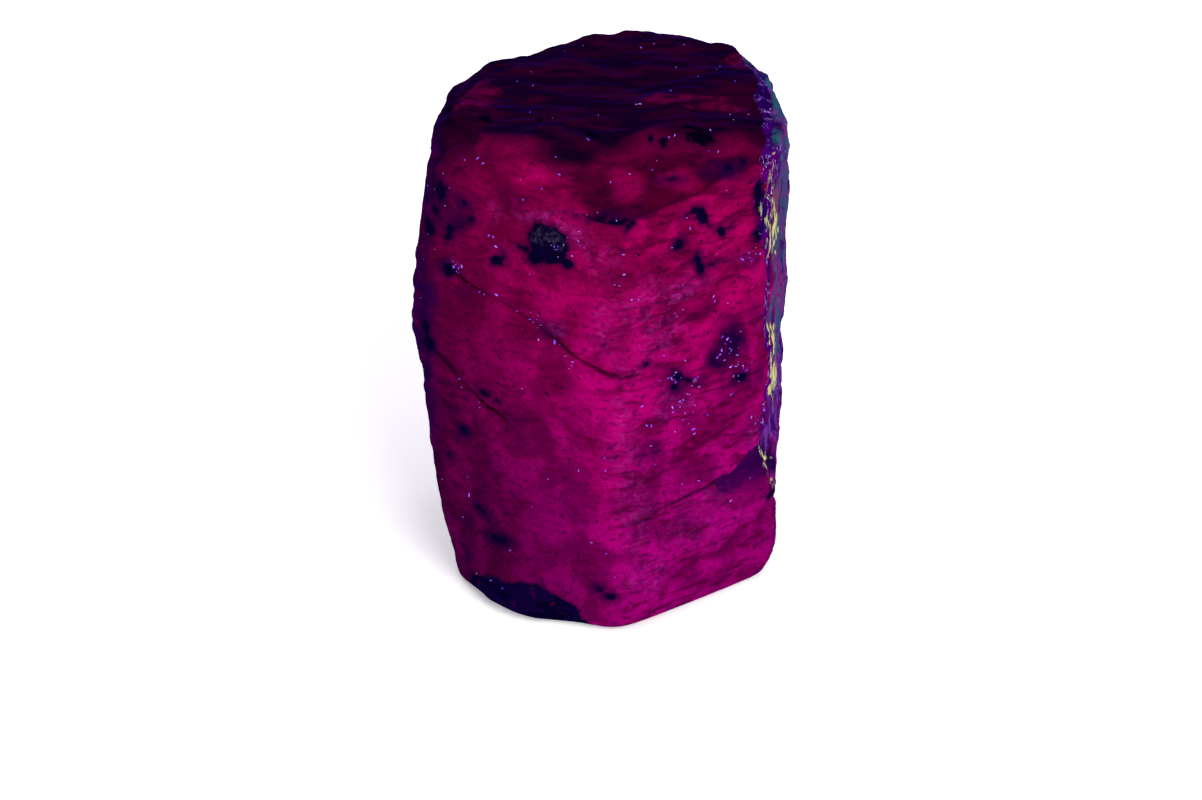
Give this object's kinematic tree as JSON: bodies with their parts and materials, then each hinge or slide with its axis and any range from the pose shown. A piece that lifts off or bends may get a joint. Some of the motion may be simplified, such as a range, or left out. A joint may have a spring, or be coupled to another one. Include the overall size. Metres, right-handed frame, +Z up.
{
  "type": "raw ruby crystal",
  "caption": "Squat six-sided raw ruby crystal with a bellied side, worn corners and a chipped top, standing on its flat foot.",
  "frame": {"origin": "on the surface it stands on, under the middle of the crystal's bounding box", "axes": "+Z up along the prism's long axis, the prism's front corner towards -Y, +X to the right seen from the front"},
  "size_m": [0.0206, 0.0238, 0.0263],
  "materials": {
    "ruby": "rough natural crystal face with a waxy sheen, dark mineral grains and bright mica flecks"
  },
  "bodies": {
    "root": {"ruby_crystal": "ruby"}
  },
  "joints": []
}
